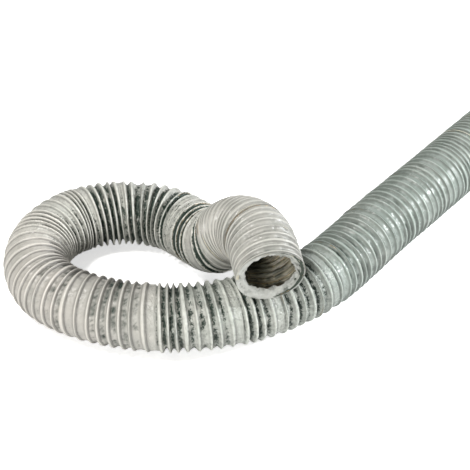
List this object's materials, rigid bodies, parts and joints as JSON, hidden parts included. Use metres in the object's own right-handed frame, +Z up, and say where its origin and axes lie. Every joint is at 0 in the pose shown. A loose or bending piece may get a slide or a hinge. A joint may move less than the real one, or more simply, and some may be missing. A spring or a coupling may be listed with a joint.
{
  "type": "flexible air duct",
  "caption": "Flexible round air duct of grey film wound on a wire spring, lying in a loop with its open mouth resting across its own run and its other end drawn out to slip over a spigot.",
  "frame": {"origin": "on the floor, under the middle of the duct's outline seen from above", "axes": "+X right, along the longest extent; +Y away from the viewer; +Z up from the floor"},
  "size_m": [0.9051, 0.6351, 0.2152],
  "materials": {
    "film": "satin vinyl film, pleated between the turns of the wire",
    "wire": "coppered spring-steel wire"
  },
  "bodies": {
    "coil": {"film_back": "film", "film_shoulder": "film", "film_left": "film", "film_heel": "film", "film_front": "film", "film_crossing": "film", "film_run_bend": "film", "film_rise": "film", "wire_back": "wire", "wire_left": "wire", "wire_front": "wire", "wire_rise": "wire", "wire_run_bend": "wire"},
    "mouth_bend": {"film_bend": "film", "wire_bend": "wire", "film_mouth_bellows": "film", "wire_mouth_bellows": "wire"},
    "mouth_tip": {"film_mouth": "film", "wire_mouth": "wire"},
    "run": {"film_run": "film", "wire_run": "wire", "film_run_bellows": "film", "wire_run_bellows": "wire"},
    "run_tip": {"film_cut_end": "film", "film_cuff": "film", "wire_cut_end": "wire"}
  },
  "joints": [
    {"name": "mouth_lift", "type": "hinge", "parent": "coil", "child": "mouth_bend", "pos_m": [-0.15318, -0.07716, 0.06924], "axis": [-0.7623, -0.6472, 0], "range_deg": [0, 30], "deforming": ["film_rise", "wire_rise"]},
    {"name": "mouth_stretch", "type": "slide", "parent": "mouth_bend", "child": "mouth_tip", "axis": [0.1961, -0.9806, 0], "range_m": [-0.015, 0.05], "deforming": ["film_mouth_bellows", "wire_mouth_bellows"]},
    {"name": "run_swing", "type": "hinge", "parent": "coil", "child": "run", "pos_m": [0.16979, -0.01391, 0.0525], "axis": [0, 0, 1], "range_deg": [-35, 35], "deforming": ["film_run_bend", "wire_run_bend"]},
    {"name": "run_stretch", "type": "slide", "parent": "run", "child": "run_tip", "axis": [0.6231, 0.7821, 0], "range_m": [-0.04, 0.06], "deforming": ["film_run_bellows", "wire_run_bellows"]}
  ]
}
